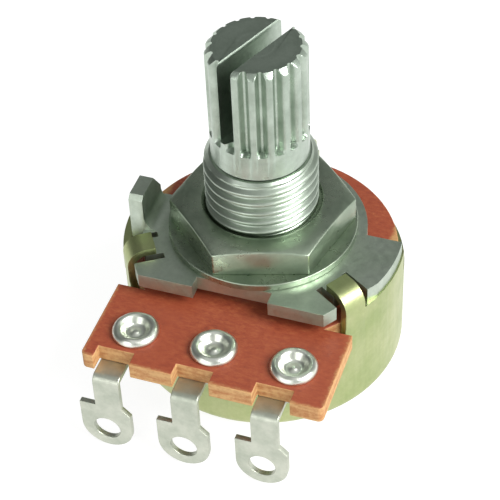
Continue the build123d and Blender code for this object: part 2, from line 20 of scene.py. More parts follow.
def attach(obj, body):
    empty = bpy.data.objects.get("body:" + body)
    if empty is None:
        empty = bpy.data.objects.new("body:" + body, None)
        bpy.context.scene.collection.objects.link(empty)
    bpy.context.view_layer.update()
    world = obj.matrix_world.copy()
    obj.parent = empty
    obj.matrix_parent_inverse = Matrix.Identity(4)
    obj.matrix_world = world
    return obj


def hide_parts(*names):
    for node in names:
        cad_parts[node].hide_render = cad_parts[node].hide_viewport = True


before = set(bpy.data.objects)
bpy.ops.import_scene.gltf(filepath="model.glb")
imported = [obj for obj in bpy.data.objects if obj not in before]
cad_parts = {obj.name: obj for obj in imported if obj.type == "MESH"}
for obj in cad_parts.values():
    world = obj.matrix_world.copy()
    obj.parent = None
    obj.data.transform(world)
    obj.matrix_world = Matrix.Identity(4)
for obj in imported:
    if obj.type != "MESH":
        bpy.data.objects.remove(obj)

MM = 0.001
SHARP_TURNED = math.radians(38)
SHARP_PRESSED = math.radians(30)
FLAT_ENOUGH = math.radians(0.4)
MERGE = 2e-7
LOG = logging.getLogger("potentiometer")


class Body(Enum):
    """The two rigid bodies that pieces ride on."""

    HOUSING = "housing"
    ROTOR = "rotor"


class Grain(Enum):
    """The direction that a surface's fine marks run in."""

    TURNED = "rings round the Z axis, from a lathe tool"
    DRAWN = "streaks along Z, from a drawing die"
    ROLLED = "streaks along X, from sheet rolling"
    TUMBLED = "no direction, from barrel plating"


def linear(hex_code: str) -> tuple[float, float, float, float]:
    """Turns an sRGB hex colour to linear RGBA.

    Args:
        hex_code: six hex digits after a hash.

    Returns:
        The linear red, green, blue and an alpha of one.
    """
    values = np.array([int(hex_code[i : i + 2], 16) for i in (1, 3, 5)]) / 255
    low = values / 12.92
    high = ((values + 0.055) / 1.055) ** 2.4
    red, green, blue = np.where(values <= 0.04045, low, high)
    return float(red), float(green), float(blue), 1.0


def add_node(
    tree: bpy.types.NodeTree, kind: str, inputs: dict | None = None, **settings
) -> bpy.types.Node:
    """Adds a node with its settings, values and links.

    Args:
        tree: the node tree.
        kind: the node's type name.
        inputs: socket name or number to a value, or to the socket it is linked from.
        settings: attributes of the node.

    Returns:
        The new node.
    """
    node = tree.nodes.new(kind)
    for key, value in settings.items():
        setattr(node, key, value)
    for key, value in (inputs or {}).items():
        if isinstance(value, bpy.types.NodeSocket):
            tree.links.new(value, node.inputs[key])
        else:
            node.inputs[key].default_value = value
    return node


def add_ramp(
    tree: bpy.types.NodeTree, factor: bpy.types.NodeSocket, stops: list[tuple[float, tuple]]
) -> bpy.types.Node:
    """Adds a colour ramp.

    Args:
        tree: the node tree.
        factor: the socket that drives it.
        stops: position and linear colour of each stop, in order.

    Returns:
        The ramp node.
    """
    node = add_node(tree, "ShaderNodeValToRGB", {"Fac": factor})
    elements = node.color_ramp.elements
    while len(elements) < len(stops):
        elements.new(0.5)
    for element, (position, colour) in zip(elements, stops):
        element.position = position
        element.color = colour
    return node


def start_material(
    name: str,
) -> tuple[bpy.types.Material, bpy.types.NodeTree, bpy.types.Node, bpy.types.Node]:
    """Starts a material with its shader and millimetre coordinates.

    Args:
        name: the material's name.

    Returns:
        The material, its tree, its Principled shader and a Mapping node in millimetres.
    """
    material = bpy.data.materials.new(name)
    material.use_nodes = True
    tree = material.node_tree
    tree.nodes.clear()
    shader = add_node(tree, "ShaderNodeBsdfPrincipled")
    add_node(tree, "ShaderNodeOutputMaterial", {"Surface": shader.outputs[0]})
    place = add_node(tree, "ShaderNodeTexCoord").outputs["Object"]
    mapping = add_node(tree, "ShaderNodeMapping", {"Vector": place, "Scale": (1000, 1000, 1000)})
    return material, tree, shader, mapping


@dataclass(frozen=True)
class MetalFinish:
    """A plated or bare metal surface.

    Two tints vary in soft clouds, fine marks run along the grain, and both
    change the roughness a little, as thin plating over worked metal does.
    """

    name: str
    tint: str
    second_tint: str
    roughness: float
    grain: Grain
    cloud_size: float = 2.5
    mark_width: float = 0.12
    mark_depth: float = 0.004
    roughness_spread: float = 0.10
    speckle: float = 0.25

    def grain_vector(self, tree: bpy.types.NodeTree, mapping: bpy.types.Node) -> bpy.types.NodeSocket:
        """Gives coordinates that are stretched along the grain.

        Turned: (distance from Z, height), so marks close into rings. Drawn: Z
        shrunk to 0.03. Rolled: X shrunk to 0.025. Tumbled: plain.

        Args:
            tree: the material's node tree.
            mapping: the Mapping node in millimetres.

        Returns:
            The socket that gives the coordinates.
        """
        source = mapping.outputs[0]
        if self.grain is Grain.TUMBLED:
            return source
        if self.grain is Grain.ROLLED:
            return add_node(tree, "ShaderNodeMapping", {"Vector": source, "Scale": (0.025, 1, 1)}).outputs[0]
        split = add_node(tree, "ShaderNodeSeparateXYZ", {0: source})
        if self.grain is Grain.DRAWN:
            return add_node(tree, "ShaderNodeMapping", {"Vector": source, "Scale": (1, 1, 0.03)}).outputs[0]
        flat = add_node(tree, "ShaderNodeCombineXYZ", {0: split.outputs[0], 1: split.outputs[1]})
        radius = add_node(tree, "ShaderNodeVectorMath", {0: flat.outputs[0]}, operation="LENGTH")
        rings = add_node(tree, "ShaderNodeCombineXYZ", {0: radius.outputs["Value"], 1: split.outputs[2]})
        return rings.outputs[0]

    def make(self) -> bpy.types.Material:
        """Builds the material."""
        material, tree, shader, mapping = start_material(self.name)
        clouds = add_node(
            tree,
            "ShaderNodeTexNoise",
            {"Vector": mapping.outputs[0], "Scale": 1 / self.cloud_size, "Detail": 4.0, "Roughness": 0.6},
        )
        marks = add_node(
            tree,
            "ShaderNodeTexNoise",
            {"Vector": self.grain_vector(tree, mapping), "Scale": 1 / self.mark_width, "Detail": 2.0},
        )
        specks = add_node(
            tree,
            "ShaderNodeTexNoise",
            {"Vector": mapping.outputs[0], "Scale": 4.0, "Detail": 6.0, "Roughness": 0.7},
        )
        cloud_edge = add_ramp(tree, clouds.outputs[0], [(0.36, (0, 0, 0, 1)), (0.64, (1, 1, 1, 1))])
        tinted = add_node(
            tree,
            "ShaderNodeMix",
            {0: cloud_edge.outputs[0], 6: linear(self.tint), 7: linear(self.second_tint)},
            data_type="RGBA",
        )
        speck_edge = add_ramp(tree, specks.outputs[0], [(0.42, (0.55, 0.55, 0.55, 1)), (0.60, (1, 1, 1, 1))])
        worn = add_node(
            tree,
            "ShaderNodeMix",
            {0: self.speckle, 6: tinted.outputs[2], 7: speck_edge.outputs[0]},
            data_type="RGBA",
            blend_type="MULTIPLY",
        )
        tree.links.new(worn.outputs[2], shader.inputs["Base Color"])
        both = add_node(tree, "ShaderNodeMath", {0: clouds.outputs[0], 1: marks.outputs[0]}, operation="ADD")
        rough = add_node(
            tree,
            "ShaderNodeMapRange",
            {
                "Value": both.outputs[0],
                "From Min": 0.7,
                "From Max": 1.3,
                "To Min": self.roughness - self.roughness_spread,
                "To Max": self.roughness + self.roughness_spread,
            },
        )
        tree.links.new(rough.outputs[0], shader.inputs["Roughness"])
        shader.inputs["Metallic"].default_value = 1.0
        relief = add_node(
            tree,
            "ShaderNodeBump",
            {"Height": marks.outputs[0], "Strength": 1.0, "Distance": self.mark_depth * MM},
        )
        pits = add_node(
            tree,
            "ShaderNodeBump",
            {
                "Height": specks.outputs[0],
                "Strength": 1.0,
                "Distance": self.mark_depth * 0.5 * MM,
                "Normal": relief.outputs[0],
            },
        )
        tree.links.new(pits.outputs[0], shader.inputs["Normal"])
        return material


@dataclass(frozen=True)
class LaminateFace:
    """Pressed face of red-brown phenolic paper laminate.

    The resin-rich skin is a little glossy and mottled by the paper's fibres,
    and it pales in a thin band where the punch broke the edge.
    """

    name: str = "phenolic paper laminate, pressed face"
    tint: str = "#9A482E"
    dark_tint: str = "#743023"
    light_tint: str = "#B46A42"
    edge_tint: str = "#CFA46C"
    front: float = 12.05
    side: float = 7.55
    band: float = 0.34
    band_fade: float = 0.32

    def make(self) -> bpy.types.Material:
        """Builds the material."""
        material, tree, shader, mapping = start_material(self.name)
        fibres = add_node(
            tree,
            "ShaderNodeTexNoise",
            {
                "Vector": add_node(
                    tree, "ShaderNodeMapping", {"Vector": mapping.outputs[0], "Scale": (1.0, 2.2, 1.0)}
                ).outputs[0],
                "Scale": 2.6,
                "Detail": 8.0,
                "Roughness": 0.72,
            },
        )
        clouds = add_node(
            tree, "ShaderNodeTexNoise", {"Vector": mapping.outputs[0], "Scale": 0.28, "Detail": 2.0}
        )
        mottled = add_ramp(
            tree,
            fibres.outputs[0],
            [(0.33, linear(self.dark_tint)), (0.5, linear(self.tint)), (0.70, linear(self.light_tint))],
        )
        broad = add_node(
            tree,
            "ShaderNodeMix",
            {0: clouds.outputs[0], 6: mottled.outputs[0], 7: linear(self.tint)},
            data_type="RGBA",
        )
        split = add_node(tree, "ShaderNodeSeparateXYZ", {0: mapping.outputs[0]})
        to_front = add_node(tree, "ShaderNodeMath", {0: split.outputs[1], 1: self.front}, operation="ADD")
        across = add_node(tree, "ShaderNodeMath", {0: split.outputs[0]}, operation="ABSOLUTE")
        to_side = add_node(tree, "ShaderNodeMath", {0: self.side, 1: across.outputs[0]}, operation="SUBTRACT")
        nearest = add_node(
            tree, "ShaderNodeMath", {0: to_front.outputs[0], 1: to_side.outputs[0]}, operation="MINIMUM"
        )
        ragged = add_node(
            tree,
            "ShaderNodeMath",
            {0: fibres.outputs[0], 1: 0.9, 2: nearest.outputs[0]},
            operation="MULTIPLY_ADD",
        )
        broken = add_node(
            tree,
            "ShaderNodeMapRange",
            {
                "Value": ragged.outputs[0],
                "From Min": self.band,
                "From Max": self.band + self.band_fade,
                "To Min": 0.75,
                "To Max": 0.0,
            },
        )
        edged = add_node(
            tree,
            "ShaderNodeMix",
            {0: broken.outputs[0], 6: broad.outputs[2], 7: linear(self.edge_tint)},
            data_type="RGBA",
        )
        tree.links.new(edged.outputs[2], shader.inputs["Base Color"])
        rough = add_node(
            tree, "ShaderNodeMapRange", {"Value": fibres.outputs[0], "To Min": 0.36, "To Max": 0.58}
        )
        tree.links.new(rough.outputs[0], shader.inputs["Roughness"])
        shader.inputs["IOR"].default_value = 1.55
        relief = add_node(
            tree, "ShaderNodeBump", {"Height": fibres.outputs[0], "Strength": 1.0, "Distance": 0.02 * MM}
        )
        tree.links.new(relief.outputs[0], shader.inputs["Normal"])
        return material


@dataclass(frozen=True)
class LaminateEdge:
    """Punched edge of the laminate: pale, matt and dry, with the paper's layers.

    Layers are about 0.13 mm of paper each, so they are drawn true to size.
    """

    name: str = "phenolic paper laminate, punched edge"
    pale: str = "#CBA06C"
    dark: str = "#B0784A"
    layer: float = 0.13

    def make(self) -> bpy.types.Material:
        """Builds the material."""
        material, tree, shader, mapping = start_material(self.name)
        layers = add_node(
            tree,
            "ShaderNodeTexNoise",
            {
                "Vector": add_node(
                    tree, "ShaderNodeMapping", {"Vector": mapping.outputs[0], "Scale": (0.12, 0.12, 1.0)}
                ).outputs[0],
                "Scale": 1 / (2 * self.layer),
                "Detail": 3.0,
            },
        )
        tears = add_node(
            tree,
            "ShaderNodeTexNoise",
            {"Vector": mapping.outputs[0], "Scale": 3.2, "Detail": 5.0, "Roughness": 0.65},
        )
        mixed = add_node(
            tree, "ShaderNodeMath", {0: layers.outputs[0], 1: tears.outputs[0]}, operation="ADD"
        )
        half = add_node(tree, "ShaderNodeMath", {0: mixed.outputs[0], 1: 0.5}, operation="MULTIPLY")
        colours = add_ramp(tree, half.outputs[0], [(0.40, linear(self.dark)), (0.58, linear(self.pale))])
        tree.links.new(colours.outputs[0], shader.inputs["Base Color"])
        shader.inputs["Roughness"].default_value = 0.8
        relief = add_node(
            tree, "ShaderNodeBump", {"Height": half.outputs[0], "Strength": 1.0, "Distance": 0.05 * MM}
        )
        tree.links.new(relief.outputs[0], shader.inputs["Normal"])
        return material


@dataclass(frozen=True)
class MattFilm:
    """A printed film or a moulded surface: fine grit on a nearly even colour."""

    name: str
    tint: str
    second_tint: str
    roughness: float
    grit: float = 0.2
    metallic: float = 0.0

    def make(self) -> bpy.types.Material:
        """Builds the material."""
        material, tree, shader, mapping = start_material(self.name)
        grit = add_node(
            tree, "ShaderNodeTexNoise", {"Vector": mapping.outputs[0], "Scale": 1 / self.grit, "Detail": 4.0}
        )
        colours = add_ramp(tree, grit.outputs[0], [(0.4, linear(self.tint)), (0.62, linear(self.second_tint))])
        tree.links.new(colours.outputs[0], shader.inputs["Base Color"])
        rough = add_node(
            tree,
            "ShaderNodeMapRange",
            {"Value": grit.outputs[0], "To Min": self.roughness - 0.1, "To Max": self.roughness + 0.1},
        )
        tree.links.new(rough.outputs[0], shader.inputs["Roughness"])
        shader.inputs["Metallic"].default_value = self.metallic
        relief = add_node(
            tree, "ShaderNodeBump", {"Height": grit.outputs[0], "Strength": 1.0, "Distance": 0.01 * MM}
        )
        tree.links.new(relief.outputs[0], shader.inputs["Normal"])
        return material


class Finishes:
    """Every finish on the part, made once."""

    def __init__(self) -> None:
        """Builds the materials."""
        # Yellow-passivated zinc on drawn steel: olive with faint green and gold clouds.
        self.case = MetalFinish(
            name="yellow passivated zinc on drawn steel",
            tint="#BEC492",
            second_tint="#A8B57D",
            roughness=0.40,
            grain=Grain.DRAWN,
            cloud_size=3.5,
            mark_width=0.22,
            mark_depth=0.004,
            roughness_spread=0.07,
            speckle=0.12,
        ).make()
        # Clear-passivated zinc on stamped steel: cool green-grey, barrel plated.
        self.plate = MetalFinish(
            name="clear passivated zinc on stamped steel",
            tint="#C6D0C2",
            second_tint="#AFBBAB",
            roughness=0.42,
            grain=Grain.TUMBLED,
            cloud_size=2.4,
            mark_width=0.4,
            mark_depth=0.008,
            roughness_spread=0.07,
            speckle=0.15,
        ).make()
        # Nut and washer have the same plating, a little brighter from the barrel.
        self.fixings = MetalFinish(
            name="clear passivated zinc on machined steel",
            tint="#B6C2AE",
            second_tint="#98A693",
            roughness=0.30,
            grain=Grain.TUMBLED,
            cloud_size=2.8,
            mark_width=0.4,
            mark_depth=0.005,
            roughness_spread=0.06,
            speckle=0.10,
        ).make()
        # Nickel over turned brass: grey-green in the tool marks, bright on the crests.
        self.bushing = MetalFinish(
            name="nickel plated turned brass",
            tint="#BDC8BB",
            second_tint="#A6B2A3",
            roughness=0.36,
            grain=Grain.TURNED,
            cloud_size=2.2,
            mark_width=0.2,
            mark_depth=0.003,
            roughness_spread=0.06,
            speckle=0.10,
        ).make()
        # Nickel over turned and rolled steel.
        self.shaft = MetalFinish(
            name="nickel plated rolled steel",
            tint="#BFCBBE",
            second_tint="#A6B3A5",
            roughness=0.34,
            grain=Grain.TURNED,
            cloud_size=1.8,
            mark_width=0.16,
            mark_depth=0.005,
            roughness_spread=0.07,
            speckle=0.12,
        ).make()
        # Matt tin on stamped brass: soft, milky reflections.
        self.terminal = MetalFinish(
            name="matt tin plated stamped brass",
            tint="#CDD0C2",
            second_tint="#B7BDAE",
            roughness=0.45,
            grain=Grain.TUMBLED,
            cloud_size=1.6,
            mark_width=0.3,
            mark_depth=0.006,
            roughness_spread=0.06,
            speckle=0.10,
        ).make()
        # Bright tin on drawn brass, burnished by the riveting tool.
        self.eyelet = MetalFinish(
            name="bright tin plated brass, burnished",
            tint="#F0F2E8",
            second_tint="#DEE3D6",
            roughness=0.32,
            grain=Grain.TUMBLED,
            cloud_size=0.9,
            mark_width=0.3,
            mark_depth=0.002,
            roughness_spread=0.04,
            speckle=0.08,
        ).make()
        # Hardened and oiled spring steel.
        self.ring = MetalFinish(
            name="oiled spring steel",
            tint="#6C6B66",
            second_tint="#55534F",
            roughness=0.35,
            grain=Grain.TUMBLED,
            cloud_size=1.5,
            mark_width=0.2,
            mark_depth=0.004,
            roughness_spread=0.08,
            speckle=0.3,
        ).make()
        # Rolled phosphor bronze.
        self.spring = MetalFinish(
            name="rolled phosphor bronze",
            tint="#D2A66A",
            second_tint="#BD8F55",
            roughness=0.28,
            grain=Grain.ROLLED,
            cloud_size=1.5,
            mark_width=0.1,
            mark_depth=0.003,
            roughness_spread=0.07,
            speckle=0.2,
        ).make()
        self.board_face = LaminateFace().make()
        self.board_edge = LaminateEdge().make()
        # Printed carbon film: matt black with fine grit.
        self.track = MattFilm("printed carbon film", "#141414", "#232221", 0.7, 0.08).make()
        # Printed silver ink: dull silver.
        self.silver = MattFilm("printed silver ink", "#B4B3AC", "#CBCAC4", 0.5, 0.1, 1.0).make()
        # Glass-filled nylon, moulded: black with a fine grain.
        self.carrier = MattFilm("moulded black nylon", "#1A1B1B", "#262727", 0.55, 0.25).make()


def mesh_from_grid(name: str, points: np.ndarray, close_across: bool = True) -> bpy.types.Mesh:
    """Makes a mesh from a grid of points.

    Args:
        name: the mesh's name.
        points: rows of columns of points in millimetres, shape (rows, columns, 3).
        close_across: whether each row is a closed loop.

    Returns:
        The mesh in metres, with poles and seams merged and faces outwards.
    """
    rows, columns = points.shape[:2]
    index = np.arange(rows * columns).reshape(rows, columns)
    right = np.roll(index, -1, axis=1)
    if not close_across:
        index, right = index[:, :-1], right[:, :-1]
    faces = np.stack([index[:-1], right[:-1], right[1:], index[1:]], axis=-1).reshape(-1, 4)
    mesh = bpy.data.meshes.new(name)
    mesh.from_pydata((points.reshape(-1, 3) * MM).tolist(), [], faces.tolist())
    return tidy_mesh(mesh)


def tidy_mesh(mesh: bpy.types.Mesh, merge: float = MERGE) -> bpy.types.Mesh:
    """Merges doubles, turns the faces outwards and shades by angle.

    Args:
        mesh: the mesh to tidy, in metres.
        merge: points nearer than this become one, in metres.

    Returns:
        The same mesh.
    """
    work = bmesh.new()
    work.from_mesh(mesh)
    bmesh.ops.remove_doubles(work, verts=work.verts, dist=merge)
    bmesh.ops.recalc_face_normals(work, faces=work.faces)
    work.to_mesh(mesh)
    work.free()
    mesh.polygons.foreach_set("use_smooth", np.ones(len(mesh.polygons), bool))
    mesh.set_sharp_from_angle(angle=SHARP_TURNED)
    return mesh


def smooth_profile(points: list[tuple[float, float]], steps: int = 6) -> np.ndarray:
    """Runs a Catmull-Rom curve through (radius, height) points.

    Args:
        points: the points to pass through, the first and last as ends.
        steps: samples for each span.

    Returns:
        The curve's points, shape (count, 2).
    """
    knots = np.array(points, float)
    padded = np.vstack([2 * knots[0] - knots[1], knots, 2 * knots[-1] - knots[-2]])
    t = np.linspace(0, 1, steps, endpoint=False)[:, None, None]
    a, b, c, d = padded[:-3], padded[1:-2], padded[2:-1], padded[3:]
    squared = (2 * a - 5 * b + 4 * c - d) * t**2
    cubed = (3 * b - a - 3 * c + d) * t**3
    curve = 0.5 * (2 * b + (c - a) * t + squared + cubed)
    curve = np.vstack([curve.transpose(1, 0, 2).reshape(-1, 2), knots[-1]])
    curve[:, 0] = np.maximum(curve[:, 0], 0)
    return curve


def smoothstep(low: float, high: float, value: np.ndarray) -> np.ndarray:
    """Rises from 0 at low to 1 at high as 3t^2 - 2t^3.

    Args:
        low: where the rise starts.
        high: where it ends.
        value: the values to ease.

    Returns:
        The eased values.
    """
    t = np.clip((value - low) / (high - low), 0, 1)
    return t * t * (3 - 2 * t)


def place_piece(
    name: str,
    mesh: bpy.types.Mesh,
    body: Body,
    replaced: list[str],
    materials: list[bpy.types.Material],
) -> bpy.types.Object:
    """Adds a piece to the scene, hangs it on its body and hides the CAD nodes that it stands for.

    Args:
        name: the piece's name.
        mesh: its mesh in metres.
        body: the body it rides on.
        replaced: the CAD nodes that it stands for.
        materials: its materials in slot order.

    Returns:
        The new object.
    """
    piece = bpy.data.objects.new(name, mesh)
    bpy.context.scene.collection.objects.link(piece)
    mesh.materials.clear()
    for material in materials:
        mesh.materials.append(material)
    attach(piece, body.value)
    if replaced:
        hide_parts(*replaced)
    LOG.info("%s: %d faces, rides on %s", name, len(mesh.polygons), body.value)
    return piece


@dataclass
class ThreadedBushing:
    """The turned bushing with its M7 thread, cut as a real helix."""

    finishes: Finishes
    bore: float = 2.55
    crest: float = 3.5
    depth: float = 0.34
    crest_end: float = 0.10
    root_start: float = 0.86
    pitch: float = 0.75
    thread_from: float = 1.7
    top: float = 6.2
    chamfer: float = 0.38
    core: float = 3.2
    barrel: float = 3.9
    flange: float = 4.7
    seat: float = -1.73
    flange_top: float = -1.0
    edge: float = 0.06
    entry: float = 0.12
    columns: int = 180
    rings: int = 170

    def thread_radius(self, height: np.ndarray, angle: np.ndarray) -> np.ndarray:
        """Gives the thread's radius.

        The phase is height / pitch less the share of a turn, so one groove
        winds upwards. A crest of a tenth of the pitch falls along straight
        flanks, softened at both ends, to a rounded root.

        Args:
            height: heights in millimetres.
            angle: angles round Z in radians.

        Returns:
            The radius at each height and angle.
        """
        phase = np.abs((height / self.pitch - angle / (2 * np.pi)) % 1 - 0.5) * 2
        return self.crest - self.depth * smoothstep(self.crest_end, self.root_start, phase)

    def build(self) -> bpy.types.Object:
        """Builds the bushing as rings of points from the bore's foot, round the outside and back."""
        angle = np.linspace(0, 2 * np.pi, self.columns, endpoint=False)[None, :]
        low = np.array(
            [
                (self.bore, self.seat),
                (self.flange - self.edge, self.seat),
                (self.flange, self.seat + self.edge),
                (self.flange, self.flange_top - self.edge),
                (self.flange - self.edge, self.flange_top),
                (self.barrel, self.flange_top),
                (self.barrel, 0.0),
                (self.core, 0.0),
                (self.core, self.thread_from),
            ]
        )
        heights = np.linspace(self.thread_from + 0.02, self.top, self.rings)
        radii = self.thread_radius(heights[:, None], angle)
        cone = self.crest - self.chamfer + (self.top - heights)[:, None]
        radii = np.minimum(radii, cone)
        high = np.array(
            [(self.bore + self.entry, self.top), (self.bore, self.top - self.entry), (self.bore, self.seat)]
        )
        radius = np.vstack(
            [np.repeat(low[:, :1], self.columns, 1), radii, np.repeat(high[:, :1], self.columns, 1)]
        )
        height = np.concatenate([low[:, 1], heights, high[:, 1]])[:, None] * np.ones_like(angle)
        points = np.stack([radius * np.cos(angle), radius * np.sin(angle), height], axis=-1)
        mesh = mesh_from_grid("bushing_thread", points)
        finish = self.finishes.bushing
        return place_piece(
            "bushing_thread", mesh, Body.HOUSING, ["threaded_bushing"], [finish]
        )


@dataclass
class KnurledShaft:
    """The shaft with its rolled teeth and the slot that splits its end in two."""

    finishes: Finishes
    radius: float = 3.0
    journal: float = 2.5
    shoulder: float = 6.25
    knurl_from: float = 8.0
    slot_floor: float = 8.5
    top: float = 14.0
    tip_chamfer: float = 0.36
    slot_width: float = 1.0
    pointer: float = 68.0
    teeth: int = 18
    tooth_shift: float = -5.0
    depth: float = 0.48
    crest_end: float = 0.26
    root_start: float = 0.86
    crown: float = 0.05
    samples_per_tooth: int = 16
    foot: float = -5.6
    foot_radius: float = 2.85
    ledge: float = -5.2
    tang: float = 2.0
    journal_foot: float = -3.95
    edge: float = 0.08
    knurl_run: float = 0.12
    wall_easing: float = 0.09
    prong_middle: float = 1.35
    arc_columns: int = 190

    def tooth_radius(self, angle: np.ndarray) -> np.ndarray:
        """Gives the toothed radius: a rounded crest falls to a root half a pitch away.

        Args:
            angle: angles round Z in radians.

        Returns:
            The radius at each angle.
        """
        phase = ((angle - math.radians(self.pointer + self.tooth_shift)) * self.teeth / (2 * np.pi)) % 1
        offset = np.abs((phase + 0.5) % 1 - 0.5) * 2
        crown = self.crown * offset**2
        fall = smoothstep(self.crest_end, self.root_start, offset)
        return self.radius - crown - (self.depth - self.crown) * fall

    def lower(self) -> np.ndarray:
        """Gives the rings of the solid part, from the riveted foot up to the slot's floor.

        The teeth start over 0.12 mm of height, as the rolling tool leaves them.
        """
        columns = self.teeth * self.samples_per_tooth
        angle = np.linspace(0, 2 * np.pi, columns, endpoint=False)[None, :]
        plain = np.array(
            [
                (0.0, self.foot),
                (self.foot_radius, self.foot),
                (self.radius, self.foot + 0.1),
                (self.radius, self.ledge),
                (self.tang, self.ledge),
                (self.tang, self.journal_foot),
                (self.journal, self.journal_foot),
                (self.journal, self.shoulder),
                (self.radius - self.edge, self.shoulder),
                (self.radius, self.shoulder + self.edge),
                (self.radius, self.knurl_from),
            ]
        )
        radius = np.repeat(plain[:, :1], columns, 1)
        teeth = self.tooth_radius(angle)
        radius = np.vstack([radius, teeth, teeth, np.zeros_like(teeth)])
        toothed = [self.knurl_from + self.knurl_run, self.slot_floor, self.slot_floor]
        height = np.concatenate([plain[:, 1], toothed])[:, None] * np.ones_like(angle)
        return np.stack([radius * np.cos(angle), radius * np.sin(angle), height], axis=-1)

    def prong(self, turn: float) -> np.ndarray:
        """Gives the rings of one half of the split end.

        Each ring is the toothed arc on one side of the slot, closed by the
        slot's wall. The rings shrink towards the tip by the chamfer on the arc
        and by a small easing on the wall, and end in a middle point.

        Args:
            turn: the half's turn from the pointer, in degrees.

        Returns:
            Points in millimetres, shape (rings, columns, 3).
        """
        wall = self.slot_width / 2
        start = math.asin(wall / (self.radius - 0.02))
        arc = np.linspace(start, np.pi - start, self.arc_columns)
        base = math.radians(self.pointer + turn)
        toothed = self.tooth_radius(arc + base)
        length = self.top - self.slot_floor
        rises = np.array([-0.25, 0.0, 2.0, 4.0, length - self.tip_chamfer - 0.06])
        eased = np.linspace(0, 1, 7)
        tip_rises = length - self.tip_chamfer + self.tip_chamfer * eased
        heights = self.slot_floor + np.concatenate([rises, tip_rises])
        shrink = np.concatenate([np.zeros(len(rises)), self.tip_chamfer * eased**1.25])
        wall_shift = np.concatenate([np.zeros(len(rises)), self.wall_easing * eased**4])
        limit = (self.radius - shrink)[:, None]
        radii = np.minimum(toothed[None, :], limit)
        u = radii * np.cos(arc)
        v = np.maximum(radii * np.sin(arc), (wall + wall_shift)[:, None])
        across = np.linspace(0, 1, 14)[1:-1][None, :]
        u_wall = u[:, -1:] * (1 - across) + u[:, :1] * across
        v_wall = np.repeat((wall + wall_shift)[:, None], across.shape[1], 1)
        u = np.hstack([u, u_wall])
        v = np.hstack([v, v_wall])
        z = heights[:, None] * np.ones_like(u)
        middle = np.array([0.0, self.prong_middle])
        foot = np.stack([np.full_like(u[:1], middle[0]), np.full_like(u[:1], middle[1]), z[:1]], -1)
        rim = np.stack([u, v, z], -1)
        inner = rim[-1:].copy()
        inner[..., :2] = middle + (inner[..., :2] - middle) * 0.5
        tip = np.stack([np.full_like(u[:1], middle[0]), np.full_like(u[:1], middle[1]), z[-1:]], -1)
        local = np.vstack([foot, rim, inner, tip])
        cos, sin = math.cos(base), math.sin(base)
        turned = local.copy()
        turned[..., 0] = local[..., 0] * cos - local[..., 1] * sin
        turned[..., 1] = local[..., 0] * sin + local[..., 1] * cos
        return turned

    def build(self) -> bpy.types.Object:
        """Builds the solid part and both prongs as one piece."""
        mesh = mesh_from_grid("shaft_knurled", self.lower())
        for turn in (0.0, 180.0):
            mesh = join_meshes(mesh, mesh_from_grid("prong", self.prong(turn)))
        return place_piece("shaft_knurled", mesh, Body.ROTOR, ["shaft"], [self.finishes.shaft])


def join_meshes(first: bpy.types.Mesh, second: bpy.types.Mesh) -> bpy.types.Mesh:
    """Joins the second mesh to the first as a separate shell and shades it by angle.

    Args:
        first: the mesh that is kept.
        second: the mesh that is added and removed.

    Returns:
        The first mesh.
    """
    work = bmesh.new()
    work.from_mesh(first)
    work.from_mesh(second)
    work.to_mesh(first)
    work.free()
    bpy.data.meshes.remove(second)
    first.polygons.foreach_set("use_smooth", np.ones(len(first.polygons), bool))
    first.set_sharp_from_angle(angle=SHARP_TURNED)
    return first


@dataclass
class Eyelets:
    """The three riveted eyelets with rolled rims and dished, nubbed centres."""

    finishes: Finishes
    pitch: float = 5.0
    row: float = -9.45
    board_top: float = -1.73
    clinch_top: float = -3.28
    rim: float = 1.2
    rim_width: float = 0.28
    columns: int = 72

    def profile(self) -> np.ndarray:
        """Gives the eyelet's half section from the nub, over the rim, down to the clinched foot."""
        head = [(0.0, 0.10), (0.14, 0.09), (0.26, 0.03), (0.44, -0.02), (0.62, 0.04), (0.76, 0.22), (0.92, 0.42)]
        head += [(1.10, 0.50), (1.27, 0.44), (1.40, 0.28), (1.44, 0.12), (1.36, 0.0)]
        rim = smooth_profile([(r, self.board_top + z) for r, z in head])
        foot = [(0.75, self.board_top), (0.75, self.clinch_top), (1.1, self.clinch_top - 0.01)]
        roll = smooth_profile(
            [
                (1.1, self.clinch_top - 0.01),
                (1.15, self.clinch_top - 0.1),
                (1.02, self.clinch_top - 0.24),
                (0.8, self.clinch_top - 0.27),
                (0.6, self.clinch_top - 0.16),
                (0.5, self.clinch_top + 0.1),
                (0.0, self.clinch_top + 0.12),
            ],
            4,
        )
        return np.vstack([rim, foot, roll])

    def build(self) -> None:
        """Builds the three eyelets, each with its own slight waver from the riveting tool.

        The rim's height wavers as a sum of two sines round the turn, scaled by
        how near a point is to the rim.
        """
        section = self.profile()
        angle = np.linspace(0, 2 * np.pi, self.columns, endpoint=False)[None, :]
        above_board = section[:, 1:] > self.board_top + 0.02
        near_rim = np.exp(-(((section[:, :1] - self.rim) / self.rim_width) ** 2)) * above_board
        for place, name in enumerate(("left", "centre", "right")):
            waver = 0.022 * np.sin(3 * angle + 1.3 * place) + 0.014 * np.sin(7 * angle + 2.1 * place)
            spread = 0.018 * np.sin(2 * angle + 0.9 * place)
            radius = section[:, :1] * (1 + near_rim * spread)
            height = section[:, 1:] + near_rim * (waver - 0.03)
            x = (place - 1) * self.pitch + radius * np.cos(angle)
            y = self.row + radius * np.sin(angle)
            points = np.stack([x, y, height * np.ones_like(angle)], -1)
            mesh = mesh_from_grid(f"eyelet_rolled_{name}", points)
            place_piece(
                f"eyelet_rolled_{name}",
                mesh,
                Body.HOUSING,
                [f"eyelet_{name}"],
                [self.finishes.eyelet],
            )


